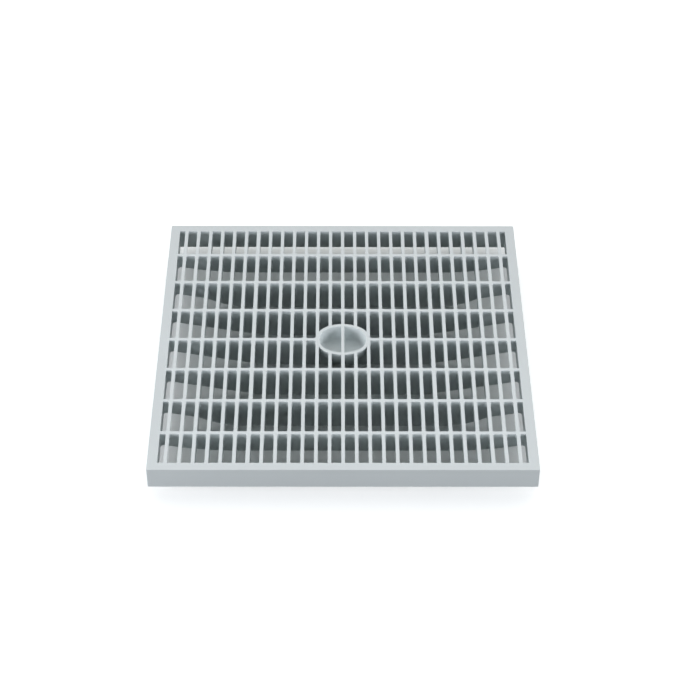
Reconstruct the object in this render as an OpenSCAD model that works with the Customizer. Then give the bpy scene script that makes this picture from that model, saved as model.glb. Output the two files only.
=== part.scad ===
// Square drain grate, moulded in one piece: a skirted border, bars running front to back,
// deeper ribs running left to right and a closed finger cup with an upright web across it.
// X runs to the right, Y to the back and Z up. The origin is under the middle of the grate,
// on the plane of the deep ribs' undersides, where it stands.

/* [Border] */
// Length and width of the square top
grate_size = 400; // [320:1:500]
// Width of the flat border around the slots
border_w = 10.5; // [9:0.5:16]
// Height of the skirt around the edge, from its foot to the top face
skirt_h = 24.5; // [22:0.5:30]
// Thickness of the outer wall of the border
outer_wall = 3.2; // [2:0.1:4]
// Thickness of the inner wall of the border at the top
inner_wall = 3.4; // [2.6:0.1:4]
// How far the inner wall's face leans away from the slots, from the top face to its foot
inner_lean = 1; // [0:0.1:1.2]
// Thickness of the border's flat top over the channel under it
deck_t = 4; // [2:0.25:6]
// Thickness of the webs across the channel
web_t = 2.6; // [1.5:0.1:4]
// How far the webs stop short of the skirt's foot
web_recess = 3; // [1:0.5:8]
// Radius of the border's upright corners
corner_r = 1.5; // [0.5:0.25:2.5]

/* [Bars] */
// Distance from one front-to-back bar to the next
bar_pitch = 13.95; // [11:0.05:18]
// Width of a bar at the top face
bar_w = 3.7; // [3:0.1:6]
// Width of the one heavier bar on each side, at the top face
heavy_bar_w = 4.2; // [3:0.1:6]
// Place of the heavier bar, counted from the middle bar
heavy_step = 7; // [2:1:10]
// Depth of the bars
bar_depth = 18.5; // [17:0.5:22]
// Depth of the outermost bars on the left and on the right
edge_bar_depth = 5; // [4:0.5:12]
// Number of these shallow bars on each side
edge_bars = 2; // [1:1:3]

/* [Ribs] */
// Distance from one left-to-right rib to the next
rib_pitch = 48.6; // [40:0.1:60]
// Width of a rib at the top face
rib_w = 3.9; // [3:0.1:6]
// Depth of the deep ribs, which is the height of the whole grate
rib_depth = 36.5; // [32:0.5:42]
// Depth of the first and last rib
end_rib_depth = 25.2; // [22:0.1:28]
// Depth of the ribs and bars where they meet the border
wall_depth = 16.2; // [12:0.1:16.8]
// Distance from the border over which the deep ribs reach their full depth
slope_run = 100; // [80:1:120]
// Radius between the undersides of the ribs and bars and the border
wall_fillet_r = 4.5; // [2:0.5:5]
// Radius of the bend in the underside of the first and last rib
end_rib_bend_r = 340; // [200:5:400]
// Radius of the round haunches on the two ribs next to the first and last
haunch_r = 95; // [80:1:120]
// Distance from the border to the start of the haunches
haunch_start = 36; // [30:1:45]

/* [Finger cup] */
// Length of the cup's opening, left to right
cup_w = 51.6; // [46:0.2:60]
// Width of the cup's opening, front to back
cup_d = 43; // [36:0.2:46]
// How far the opening's long sides bow out past its round ends
cup_bow = 1; // [0.5:0.1:3]
// Width of the rim at the opening's left and right ends
rim_end_t = 3.8; // [3:0.1:7]
// Width of the rim at the opening's front and back
rim_side_t = 3.8; // [3:0.1:6]
// How far the long sides of the rim's outer edge bow out past its round ends
rim_bow = 1.2; // [0.5:0.1:3]
// Depth of the cup, from the top face to its floor
cup_depth = 14.5; // [10:0.5:20]
// Thickness of the cup's floor
cup_floor = 2.2; // [1.6:0.1:4]
// How far the cup's walls lean inwards from the top face to the floor
cup_lean = 3; // [1:0.1:5]
// How far the outside of the cup leans inwards from the top face to its foot
rim_lean = 4.4; // [1:0.1:6]
// Radius between the cup's walls and its floor
cup_fillet_r = 4; // [2:0.5:7]
// Width of the web across the cup, at the top face
grip_w = 3.2; // [2.4:0.1:5]

/* [Moulding] */
// Draft angle of the sides of bars and ribs, in degrees
draft = 1.2; // [0.5:0.1:1.5]
// Size of the small corner fillings where bars and ribs cross
gusset = 1.1; // [0.5:0.1:1.5]

/* [Hidden] */
$fn = 96;

// Overlap that joins a bar or rib to what it runs into
bite = 1;
// How far shapes are drawn past the face where they are cut off, and cutting shapes past that
past = 5;
// Steps in each bend of an underside and of the cup's fillet
bend_steps = 6;
// Bars from one web along the front and back of the border to the next
web_every = 3;
// How far an arc stands proud of what it runs into, so that the two meet in a clean edge
proud = 0.06;

half = grate_size / 2;
inner_half = half - border_w;
top_z = rib_depth;
skirt_z = top_z - skirt_h;
slope = (rib_depth - wall_depth) / slope_run;
slope_angle = atan(slope);

// Where bars and ribs end inside the border, and the start of their side outlines there
bar_end = inner_half + bite;
outline_end = [[bar_end, top_z + 2 * past], [bar_end, top_z - wall_depth + bite * slope]];
// Side outline of the middle ribs, straight from the border to the full depth
deep_outline = concat(outline_end, [[inner_half - slope_run, 0]]);

// Shortest sides that the slots beside the border may have, across the bars and along them
slot_min = 4;
row_min = 16;
// Bars on each side of the middle bar, and ribs on each side of the middle rib
bar_reach = floor((inner_half - bar_w / 2 - slot_min) / bar_pitch);
rib_reach = floor((inner_half - rib_w / 2 - row_min) / rib_pitch);

rim_w = cup_w + 2 * rim_end_t;
rim_d = cup_d + 2 * rim_side_t;

function bar_width(i) = abs(i) == heavy_step ? heavy_bar_w : bar_w;
function lean(depth) = depth * tan(draft);
function arc(x, z, r, a0, a1) = [
    for (i = [0:bend_steps])
        let (a = a0 + (a1 - a0) * i / bend_steps) [x + r * cos(a), z + r * sin(a)]
];
function mirrored(points) = concat(
    points,
    [for (i = [len(points) - 1:-1:0]) [-points[i][0], points[i][1]]]
);

// A flat outline drawn out from above the top face down to a depth
module from_top(depth) {
    translate([0, 0, top_z + past])
        mirror([0, 0, 1])
            linear_extrude(past + depth)
                children();
}

// A straight bar along Y, of the given width at the top face. Its foot is narrower, or where
// the taper is -1, wider.
module drafted_bar(w, depth, length, taper = 1) {
    translate([0, length / 2, 0])
        rotate([90, 0, 0])
            linear_extrude(length)
                polygon(mirrored([
                    [w / 2 + taper * lean(past), top_z + past],
                    [w / 2 - taper * lean(depth), top_z - depth]
                ]));
}

// The square opening inside the border, whose walls lean outwards towards the foot
module square_opening(top_half, foot_half) {
    lean_past = 2 * past * (foot_half - top_half) / skirt_h;
    intersection_for (turn = [0, 90])
        side_outline(
            mirrored([
                [top_half - lean_past, top_z + 2 * past],
                [foot_half + lean_past, skirt_z - 2 * past]
            ]),
            turn
        );
}

// A side outline that is seen along Y, or along X where it is turned, and reaches right across.
// Its child, if any, is drawn in the same plane and added to it.
module side_outline(points, turn = 0) {
    rotate(turn)
        translate([0, half, 0])
            rotate([90, 0, 0])
                linear_extrude(grate_size) {
                    polygon(points);
                    children();
                }
}

// Side outline of the fillets between the border's inner wall and the sloping undersides
module wall_fillets() {
    wall_slant = inner_lean / skirt_h;
    // How far the centre lies inside the wall's face, and below the underside's line
    reach = wall_fillet_r - proud;
    drop = wall_fillet_r * sqrt(1 + slope * slope) - proud;
    centre_depth = (wall_depth + drop + slope * reach) / (1 + slope * wall_slant);
    centre_x = inner_half + wall_slant * centre_depth - reach;
    centre_z = top_z - centre_depth;
    end_angle = 90 + slope_angle;
    far_x = centre_x + wall_fillet_r * cos(end_angle);
    for (side = [0, 1])
        mirror([side, 0])
            polygon(concat(
                [[far_x, top_z - bite], [bar_end, top_z - bite], [bar_end, centre_z]],
                arc(centre_x, centre_z, wall_fillet_r, 0, end_angle)
            ));
}

// The border: a flat top with an outer and an inner wall and an open channel under it
module border() {
    channel_out = half - outer_wall;
    channel_in = inner_half + inner_wall;
    difference() {
        from_top(skirt_h)
            rounded_square(half, corner_r);
        square_opening(inner_half, inner_half + inner_lean);
        difference() {
            translate([0, 0, skirt_z - past])
                linear_extrude(skirt_h - deck_t + past)
                    square(2 * channel_out, center = true);
            translate([0, 0, skirt_z - 2 * past])
                linear_extrude(skirt_h + 3 * past)
                    square(2 * channel_in, center = true);
            channel_webs();
        }
    }
}

module rounded_square(half_w, r) {
    square([2 * half_w, 2 * (half_w - r)], center = true);
    square([2 * (half_w - r), 2 * half_w], center = true);
    for (x = [-1, 1], y = [-1, 1])
        translate([x * (half_w - r), y * (half_w - r)])
            circle(r);
}

// Webs across the channel, in line with each rib and with some of the bars
module channel_webs() {
    web_foot = skirt_z + web_recess;
    web_reach = floor(bar_reach / web_every);
    for (i = [-rib_reach:rib_reach])
        translate([-half, i * rib_pitch - web_t / 2, web_foot])
            cube([grate_size, web_t, skirt_h]);
    for (i = [-web_reach:web_reach])
        translate([web_every * i * bar_pitch - web_t / 2, -half, web_foot])
            cube([web_t, grate_size, skirt_h]);
}

// Bars front to back, with small fillings in the corners where the ribs cross them.
// They are drawn too deep, and two side outlines give their undersides: one rises towards
// the front and the back, and the other holds the shallow bars on the left and right.
module bars() {
    flat_y = inner_half - (bar_depth - wall_depth) / slope;
    bar_outline = concat(outline_end, [[flat_y, top_z - bar_depth]]);
    edge_x = (bar_reach - edge_bars) * bar_pitch + bar_pitch / 2;
    edge_z = top_z - edge_bar_depth;
    intersection() {
        for (i = [-bar_reach:bar_reach])
            translate([i * bar_pitch, 0, 0]) {
                drafted_bar(bar_width(i), bar_depth + past, 2 * bar_end);
                gussets(bar_width(i), bar_depth + past);
            }
        side_outline(mirrored(bar_outline), 90)
            wall_fillets();
        side_outline(mirrored([
            [half, top_z + 2 * past], [half, edge_z], [edge_x, edge_z], [edge_x, 0]
        ]));
    }
}

module gussets(w, depth) {
    for (i = [-rib_reach:rib_reach])
        translate([0, i * rib_pitch, 0])
            from_top(depth)
                circle((w + rib_w) / 2 + gusset, $fn = 4);
}

// Ribs left to right: the outlines of their undersides differ
module ribs() {
    // First and last rib, with a soft bend between the slope and the flat middle
    bend_x = inner_half - (end_rib_depth - wall_depth) / slope;
    bend_run = end_rib_bend_r * tan(slope_angle / 2);
    end_z = top_z - end_rib_depth;
    rib_set([rib_reach], concat(
        outline_end,
        arc(bend_x - bend_run, end_z + end_rib_bend_r, end_rib_bend_r, slope_angle - 90, -90)
    ));

    // Next to them, ribs with round haunches down to the full depth
    haunch_x = inner_half - haunch_start;
    haunch_z = slope * haunch_start;
    haunch_rise = rib_depth - wall_depth - haunch_z;
    haunch_angle = acos(1 - haunch_rise / haunch_r);
    rib_set([rib_reach - 1], concat(
        outline_end,
        arc(haunch_x - haunch_r * sin(haunch_angle), haunch_r, haunch_r, haunch_angle - 90, -90)
    ));

    // The middle ribs, straight from the border to the full depth
    rib_set([0:rib_reach - 2], deep_outline);
}

// Ribs at the given steps in front of the middle and behind it, with one side outline.
// They are drawn too deep, and the outline gives their underside.
module rib_set(steps, outline) {
    intersection() {
        for (i = steps, side = [-1, 1])
            if (i > 0 || side > 0)
                translate([0, side * i * rib_pitch, 0])
                    rotate(90)
                        drafted_bar(rib_w, rib_depth + past, 2 * bar_end);
        side_outline(mirrored(outline))
            wall_fillets();
    }
}

// A turned body whose outline follows a profile of [inset, height] points, from the foot up
module turned(r, profile) {
    rotate_extrude()
        polygon(concat(
            [[0, profile[0][1]]],
            [for (p = profile) [r - p[0], p[1]]],
            [[0, profile[len(profile) - 1][1]]]
        ));
}

// The part of its child inside an outline that is seen from above
module within(outline) {
    intersection() {
        children();
        translate([0, 0, -past])
            linear_extrude(top_z + 4 * past)
                polygon(outline);
    }
}

// An oval body of two end arcs and two side arcs, whose walls all follow the same profile.
// The side arcs bow out past the end arcs and end on lines through the centres of these.
module oval(w, d, bow, profile) {
    end_r = d / 2 - bow;
    end_x = w / 2 - end_r;
    inner_r = end_r - proud;
    side_r = (end_x * end_x + d * d / 4 - inner_r * inner_r) / (d - 2 * inner_r);
    side_y = side_r - d / 2;
    far_x = end_x * (1 + d / side_y);
    for (turn = [0, 180])
        rotate(turn) {
            within([[-end_x, 0], [end_x, 0], [far_x, d], [-far_x, d]])
                translate([0, -side_y, 0])
                    turned(side_r, profile);
            translate([end_x, 0, 0])
                turned(end_r, profile);
        }
}

// Profile of a bowl with a round edge around its foot. Its wall leans in by the given amount
// from the top face to the foot, and goes on above the top face.
function bowl_profile(depth, lean_in, fillet_r, above) =
    let (
        tilt = atan(lean_in / depth),
        inset = lean_in * (1 - fillet_r / depth) + fillet_r / cos(tilt)
    )
    concat(
        arc(inset, top_z - depth + fillet_r, fillet_r, 270, 180 + tilt),
        [[-lean_in * above / depth, top_z + above]]
    );

module cup_body() {
    fillet_r = cup_fillet_r + cup_floor;
    oval(rim_w, rim_d, rim_bow, bowl_profile(cup_depth + cup_floor, rim_lean, fillet_r, past));
}

module cup_cavity() {
    oval(cup_w, cup_d, cup_bow, bowl_profile(cup_depth, cup_lean, cup_fillet_r, 2 * past));
}

// The upright web across the cup, which a thumb and a finger take from its two sides
module grip() {
    drafted_bar(grip_w, cup_depth + past, rim_d, -1);
}

// Everything is drawn past the top face and cut off there
module grate() {
    color("gainsboro")
        intersection() {
            difference() {
                union() {
                    border();
                    bars();
                    ribs();
                    cup_body();
                }
                difference() {
                    cup_cavity();
                    grip();
                }
            }
            translate([-grate_size, -grate_size, -past])
                cube([2 * grate_size, 2 * grate_size, top_z + past]);
        }
}

grate();
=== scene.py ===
import math

import bmesh
import bpy
from mathutils import Matrix, Vector


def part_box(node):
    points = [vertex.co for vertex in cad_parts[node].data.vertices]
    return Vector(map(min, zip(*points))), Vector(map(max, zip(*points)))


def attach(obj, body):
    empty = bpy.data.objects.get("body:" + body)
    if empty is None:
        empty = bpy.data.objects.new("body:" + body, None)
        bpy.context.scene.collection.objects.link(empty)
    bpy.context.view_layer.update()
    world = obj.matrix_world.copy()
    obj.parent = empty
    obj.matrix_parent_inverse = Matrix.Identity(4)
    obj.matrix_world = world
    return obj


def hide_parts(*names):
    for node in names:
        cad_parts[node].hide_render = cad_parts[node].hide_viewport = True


# Sizes and places are in metres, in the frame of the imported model
MM = 0.001

# Softened edges of the moulding, the steps that each round is made of, and the bevel profile of a circular one
CORNER_ROUND = 0.4 * MM
TOP_ROUND = 0.3 * MM
ROUND_STEPS = 2
FOOT_EASE = 0.25 * MM
EASE_STEPS = 1
CIRCULAR = 0.5

SAME_POINT = 0.001 * MM
# Points of a round that fall this close together are one
SLIVER = 0.02 * MM
FLAT_WITHIN = math.radians(0.5)
SHARP_FROM = math.radians(20)
SMOOTH_BELOW = math.radians(50)
# Edges of the feet rise less than this, and the corners of the slots more than that. 1 is upright
FOOT_RISE = 0.9
CORNER_RISE = 0.99

# A straight top edge at least this long, side to side, is a rib's or the border's
RIB_EDGE = 5 * MM
# How far out the top is cut in each row of slots, as a share of the row: clear of the finger cup
CUT_IN_ROW = 0.75

# Colours are linear
PLASTIC = (0.69, 0.745, 0.75, 1)
FLOOR_SEEN = (0.9, 0.93, 0.925, 1)
FLOOR_BOUNCE = (0.12, 0.135, 0.13, 1)
WHITE = (1, 1, 1, 1)
SOFTBOX_COLOUR = (1, 1, 1.05)

# The plastic: clouds of shade, patches of gloss and a fine grain. Scales are in features to the metre
CLOUD_SCALE = 14
CLOUD_SHADES = (0.965, 1.035)
GLOSS_SCALE = 60
ROUGHNESSES = (0.4, 0.58)
GRAIN_SCALE = 1600
GRAIN_DETAIL = 2
GRAIN_STRENGTH = 0.25
GRAIN_HEIGHT = 0.06 * MM
PLASTIC_IOR = 1.49
# The border's top against the bars, and how softly that shade begins
BORDER_WIDTH = 10.5 * MM
BORDER_SHADE = 0.95
SHADE_EDGE = 0.5 * MM

FLOOR_SIZE = 4.4
# A glow that lifts the ground round the grate to white. It sets in just inside the left and right edges, at the
# back edge, and so far inside the front edge that the ground seen under the skirt has it and the ground seen
# through the slots doesn't
FLOOR_LIFT = 0.42
LIFT_BESIDE = 6 * MM
LIFT_BEFORE = 14 * MM
LIFT_RUN = 30 * MM

WORLD_STRENGTH = 2.46
# Two low lamps in front, as offsets from the middle of the top
SOFTBOX_SIZE = 1.4
LEFT_SOFTBOX, LEFT_POWER = Vector((-1.98, -1.14, 0.74)), 41
RIGHT_SOFTBOX, RIGHT_POWER = Vector((1.98, -1.14, 0.74)), 32

# The photograph's camera, worked out from the corners of the square top
PHOTO_PIXELS = 700
FOCAL_PIXELS = 1885.8
SENSOR_WIDTH = 36
CAMERA_FROM_TOP = Vector((-6.4, -1541.5, 1367.2)) * MM
CAMERA_DOWN = math.radians(41.90)
CAMERA_YAW = math.radians(0.531)
CAMERA_ROLL = math.radians(0.411)


# Shape

def rise(edge):
    """How steep an edge is, from 0 for a level one to 1 for an upright one."""
    run = (edge.verts[1].co - edge.verts[0].co).normalized()
    return abs(run.z)


def is_sharp(edge):
    return edge.calc_face_angle(0) > SHARP_FROM


def lies_at(part, height):
    return all(abs(vert.co.z - height) < SAME_POINT for vert in part.verts)


def row_cuts(mesh, top):
    """The lines across the bars, one in each row of slots, that part the pierced top into faces without holes."""
    places = set()
    for edge in mesh.edges:
        run = edge.verts[1].co - edge.verts[0].co
        if lies_at(edge, top) and is_sharp(edge) and abs(run.y) < SAME_POINT and run.length > RIB_EDGE:
            places.add(round(abs(edge.verts[0].co.y) / SAME_POINT) * SAME_POINT)
    edges = sorted(places)
    rows = [near + CUT_IN_ROW * (far - near) for near, far in zip(edges[0::2], edges[1::2])]
    return [-place for place in reversed(rows)] + [0] + rows


def cut_level_faces(mesh, heights, place):
    """Cuts the level faces at some heights along a line that runs left to right, and marks the cut as a seam."""
    faces = [face for face in mesh.faces if any(lies_at(face, height) for height in heights)]
    edges = {edge for face in faces for edge in face.edges}
    verts = {vert for face in faces for vert in face.verts}
    cut = bmesh.ops.bisect_plane(
        mesh, geom=faces + list(edges) + list(verts),
        plane_co=(0, place, 0), plane_no=(0, 1, 0), dist=SAME_POINT,
    )
    for part in cut["geom_cut"]:
        if isinstance(part, bmesh.types.BMEdge) and not is_sharp(part):
            part.seam = True


def round_edges(mesh, chosen, width, steps):
    """Rounds the edges for which chosen(edge) is true, and merges what falls together in the rounds."""
    bmesh.ops.bevel(
        mesh,
        geom=[edge for edge in mesh.edges if chosen(edge)],
        offset=width,
        offset_type="OFFSET",
        segments=steps,
        profile=CIRCULAR,
        affect="EDGES",
        clamp_overlap=False,
        loop_slide=True,
    )
    bmesh.ops.remove_doubles(mesh, verts=mesh.verts, dist=SLIVER)
    bmesh.ops.dissolve_degenerate(mesh, edges=mesh.edges, dist=SLIVER)


def moulded_grate(node):
    """The node's own form with the small rounds that a moulding has on its edges."""
    mesh = bmesh.new()
    mesh.from_mesh(node.data)
    bmesh.ops.remove_doubles(mesh, verts=mesh.verts, dist=SAME_POINT)
    top = max(vert.co.z for vert in mesh.verts)
    side = max(vert.co.x for vert in mesh.verts)
    skirt_foot = min(vert.co.z for vert in mesh.verts if vert.co.x > side - SAME_POINT)
    below_top = top - 2 * TOP_ROUND

    # The pierced top and the rings at the skirt's foot are cut into plain faces before the rest is merged
    for place in row_cuts(mesh, top):
        cut_level_faces(mesh, (top, skirt_foot), place)
    bmesh.ops.dissolve_limit(
        mesh, angle_limit=FLAT_WITHIN, verts=mesh.verts, edges=mesh.edges, delimit={"SEAM"},
    )

    def is_foot(edge):
        return is_sharp(edge) and edge.is_convex and rise(edge) < FOOT_RISE and edge.verts[0].co.z < below_top

    def is_corner(edge):
        return is_sharp(edge) and not edge.is_convex and rise(edge) > CORNER_RISE

    def is_top_edge(edge):
        return is_sharp(edge) and edge.is_convex and lies_at(edge, top)

    # The top's round comes last, so that it can follow the other two
    round_edges(mesh, is_foot, FOOT_EASE, EASE_STEPS)
    round_edges(mesh, is_corner, CORNER_ROUND, ROUND_STEPS)
    round_edges(mesh, is_top_edge, TOP_ROUND, ROUND_STEPS)

    for face in mesh.faces:
        face.smooth = True
    for edge in mesh.edges:
        edge.smooth = edge.calc_face_angle(0) < SMOOTH_BELOW

    data = bpy.data.meshes.new("moulded_grate")
    mesh.to_mesh(data)
    mesh.free()
    piece = bpy.data.objects.new("moulded_grate", data)
    bpy.context.scene.collection.objects.link(piece)
    weighted = piece.modifiers.new("weighted", "WEIGHTED_NORMAL")
    weighted.keep_sharp = True
    return piece


# Materials

def new_material(name):
    material = bpy.data.materials.new(name)
    material.use_nodes = True
    nodes = material.node_tree.nodes
    nodes.clear()
    output = nodes.new("ShaderNodeOutputMaterial")
    return material, nodes, material.node_tree.links, output


def noise(nodes, links, coordinates, scale, detail=3.0, roughness=0.55):
    texture = nodes.new("ShaderNodeTexNoise")
    texture.inputs["Scale"].default_value = scale
    texture.inputs["Detail"].default_value = detail
    texture.inputs["Roughness"].default_value = roughness
    links.new(coordinates, texture.inputs["Vector"])
    return texture.outputs["Fac"]


def spread(nodes, links, value, low, high, start=0, end=1):
    """Maps a value between start and end to the range from low to high."""
    ranged = nodes.new("ShaderNodeMapRange")
    ranged.inputs["From Min"].default_value = start
    ranged.inputs["From Max"].default_value = end
    ranged.inputs["To Min"].default_value = low
    ranged.inputs["To Max"].default_value = high
    links.new(value, ranged.inputs["Value"])
    return ranged.outputs["Result"]


def calculated(nodes, links, operation, *values):
    """A math node's result. The values are other nodes' results or plain numbers."""
    step = nodes.new("ShaderNodeMath")
    step.operation = operation
    for socket, value in zip(step.inputs, values):
        if isinstance(value, bpy.types.NodeSocket):
            links.new(value, socket)
        else:
            socket.default_value = value
    return step.outputs["Value"]


def object_place(nodes, links):
    """The place on an object, whole and parted into X, Y and Z."""
    whole = nodes.new("ShaderNodeTexCoord").outputs["Object"]
    parted = nodes.new("ShaderNodeSeparateXYZ")
    links.new(whole, parted.inputs["Vector"])
    return whole, parted.outputs


def border_shade(nodes, links, place, inner_half, top):
    """1 all over, and a shade less on the border's top."""
    across = calculated(nodes, links, "ABSOLUTE", place["X"])
    along = calculated(nodes, links, "ABSOLUTE", place["Y"])
    outwards = calculated(nodes, links, "MAXIMUM", across, along)
    at_border = spread(nodes, links, outwards, 0, 1, inner_half - SHADE_EDGE, inner_half + SHADE_EDGE)
    at_top = spread(nodes, links, place["Z"], 0, 1, top - SHADE_EDGE, top)
    return spread(nodes, links, calculated(nodes, links, "MULTIPLY", at_border, at_top), 1, BORDER_SHADE)


def plastic(inner_half, top):
    """Light grey plastic with a fine moulded grain, slight clouding and a darker top of the border."""
    material, nodes, links, output = new_material("grate_plastic")
    whole, place = object_place(nodes, links)
    shader = nodes.new("ShaderNodeBsdfPrincipled")
    shader.inputs["IOR"].default_value = PLASTIC_IOR
    links.new(shader.outputs["BSDF"], output.inputs["Surface"])

    clouds = spread(nodes, links, noise(nodes, links, whole, CLOUD_SCALE), *CLOUD_SHADES)
    border = border_shade(nodes, links, place, inner_half, top)
    shade = nodes.new("ShaderNodeHueSaturation")
    shade.inputs["Color"].default_value = PLASTIC
    links.new(calculated(nodes, links, "MULTIPLY", clouds, border), shade.inputs["Value"])
    links.new(shade.outputs["Color"], shader.inputs["Base Color"])

    gloss = noise(nodes, links, whole, GLOSS_SCALE)
    links.new(spread(nodes, links, gloss, *ROUGHNESSES), shader.inputs["Roughness"])

    bump = nodes.new("ShaderNodeBump")
    bump.inputs["Strength"].default_value = GRAIN_STRENGTH
    bump.inputs["Distance"].default_value = GRAIN_HEIGHT
    links.new(noise(nodes, links, whole, GRAIN_SCALE, GRAIN_DETAIL), bump.inputs["Height"])
    links.new(bump.outputs["Normal"], shader.inputs["Normal"])
    return material


def is_seen(nodes, links):
    """1 for what the camera sees, straight or in a mirror or through glass, and 0 for what lights the object."""
    path = nodes.new("ShaderNodeLightPath").outputs
    mirrored = calculated(nodes, links, "MAXIMUM", path["Is Glossy Ray"], path["Is Transmission Ray"])
    return calculated(nodes, links, "MAXIMUM", path["Is Camera Ray"], mirrored)


def free_ground(nodes, links, half):
    """1 on the ground beside, behind and before the grate, falling to 0 under it."""
    place = object_place(nodes, links)[1]
    across = calculated(nodes, links, "ABSOLUTE", place["X"])
    beside = spread(nodes, links, across, 0, 1, half - LIFT_BESIDE, half)
    behind = spread(nodes, links, place["Y"], 0, 1, half, half + LIFT_RUN)
    before = spread(nodes, links, place["Y"], 1, 0, LIFT_BEFORE - half, LIFT_BEFORE + LIFT_RUN - half)
    return calculated(nodes, links, "MAXIMUM", beside, calculated(nodes, links, "MAXIMUM", behind, before))


def floor_finish(half):
    """Dark grey in the light that it throws back. It is seen near white, with a lift on the free ground."""
    material, nodes, links, output = new_material("floor")
    seen = nodes.new("ShaderNodeBsdfDiffuse")
    seen.inputs["Color"].default_value = FLOOR_SEEN
    lift = nodes.new("ShaderNodeEmission")
    lift.inputs["Color"].default_value = WHITE
    strength = calculated(nodes, links, "MULTIPLY", free_ground(nodes, links, half), FLOOR_LIFT)
    links.new(strength, lift.inputs["Strength"])
    white = nodes.new("ShaderNodeAddShader")
    links.new(seen.outputs["BSDF"], white.inputs[0])
    links.new(lift.outputs["Emission"], white.inputs[1])
    thrown = nodes.new("ShaderNodeBsdfDiffuse")
    thrown.inputs["Color"].default_value = FLOOR_BOUNCE
    mix = nodes.new("ShaderNodeMixShader")
    links.new(is_seen(nodes, links), mix.inputs["Fac"])
    links.new(thrown.outputs["BSDF"], mix.inputs[1])
    links.new(white.outputs["Shader"], mix.inputs[2])
    links.new(mix.outputs["Shader"], output.inputs["Surface"])
    return material


# Stage

def add_floor(height, half):
    data = bpy.data.meshes.new("floor")
    reach = FLOOR_SIZE / 2
    corners = [(-reach, -reach, height), (reach, -reach, height), (reach, reach, height), (-reach, reach, height)]
    data.from_pydata(corners, [], [(0, 1, 2, 3)])
    floor = bpy.data.objects.new("floor", data)
    bpy.context.scene.collection.objects.link(floor)
    data.materials.append(floor_finish(half))


def add_world():
    """A white backdrop all round. Its light comes from the back half, most from straight behind."""
    world = bpy.data.worlds.new("studio")
    world.use_nodes = True
    nodes = world.node_tree.nodes
    links = world.node_tree.links
    nodes.clear()
    direction = nodes.new("ShaderNodeSeparateXYZ")
    links.new(nodes.new("ShaderNodeTexCoord").outputs["Generated"], direction.inputs["Vector"])
    behind = calculated(nodes, links, "MAXIMUM", direction.outputs["Y"], 0)

    seen = nodes.new("ShaderNodeBackground")
    seen.inputs["Color"].default_value = WHITE
    seen.inputs["Strength"].default_value = 1
    lit = nodes.new("ShaderNodeBackground")
    lit.inputs["Color"].default_value = WHITE
    links.new(calculated(nodes, links, "MULTIPLY", behind, WORLD_STRENGTH), lit.inputs["Strength"])
    mix = nodes.new("ShaderNodeMixShader")
    links.new(is_seen(nodes, links), mix.inputs["Fac"])
    links.new(lit.outputs["Background"], mix.inputs[1])
    links.new(seen.outputs["Background"], mix.inputs[2])
    output = nodes.new("ShaderNodeOutputWorld")
    links.new(mix.outputs["Shader"], output.inputs["Surface"])
    bpy.context.scene.world = world


def add_softbox(name, target, offset, power):
    light = bpy.data.lights.new(name, "AREA")
    light.shape = "SQUARE"
    light.size = SOFTBOX_SIZE
    light.color = SOFTBOX_COLOUR
    light.energy = power
    lamp = bpy.data.objects.new(name, light)
    lamp.location = target + offset
    lamp.rotation_euler = (-offset).to_track_quat("-Z", "Y").to_euler()
    bpy.context.scene.collection.objects.link(lamp)


def add_camera(top_centre):
    data = bpy.data.cameras.new("camera")
    data.sensor_fit = "HORIZONTAL"
    data.sensor_width = SENSOR_WIDTH
    data.lens = SENSOR_WIDTH * FOCAL_PIXELS / PHOTO_PIXELS
    camera = bpy.data.objects.new("camera", data)
    turn = (
        Matrix.Rotation(-CAMERA_YAW, 4, "Z")
        @ Matrix.Rotation(math.pi / 2 - CAMERA_DOWN, 4, "X")
        @ Matrix.Rotation(CAMERA_ROLL, 4, "Z")
    )
    camera.matrix_world = Matrix.Translation(top_centre + CAMERA_FROM_TOP) @ turn
    bpy.context.scene.collection.objects.link(camera)
    bpy.context.scene.camera = camera


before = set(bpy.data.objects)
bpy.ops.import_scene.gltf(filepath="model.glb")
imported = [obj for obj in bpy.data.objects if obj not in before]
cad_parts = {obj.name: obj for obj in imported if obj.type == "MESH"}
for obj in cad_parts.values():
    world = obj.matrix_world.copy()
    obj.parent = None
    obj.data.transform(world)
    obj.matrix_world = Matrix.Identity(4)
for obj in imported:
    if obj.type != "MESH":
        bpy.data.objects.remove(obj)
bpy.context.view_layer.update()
low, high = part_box("grate")

grate = moulded_grate(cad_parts["grate"])
grate.data.materials.append(plastic(high.x - BORDER_WIDTH, high.z))
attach(grate, "root")
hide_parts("grate")

centre = Vector(((low.x + high.x) / 2, (low.y + high.y) / 2, high.z))
add_floor(low.z, high.x)
add_world()
add_softbox("left_softbox", centre, LEFT_SOFTBOX, LEFT_POWER)
add_softbox("right_softbox", centre, RIGHT_SOFTBOX, RIGHT_POWER)
add_camera(centre)

bpy.context.scene.view_settings.view_transform = "Standard"
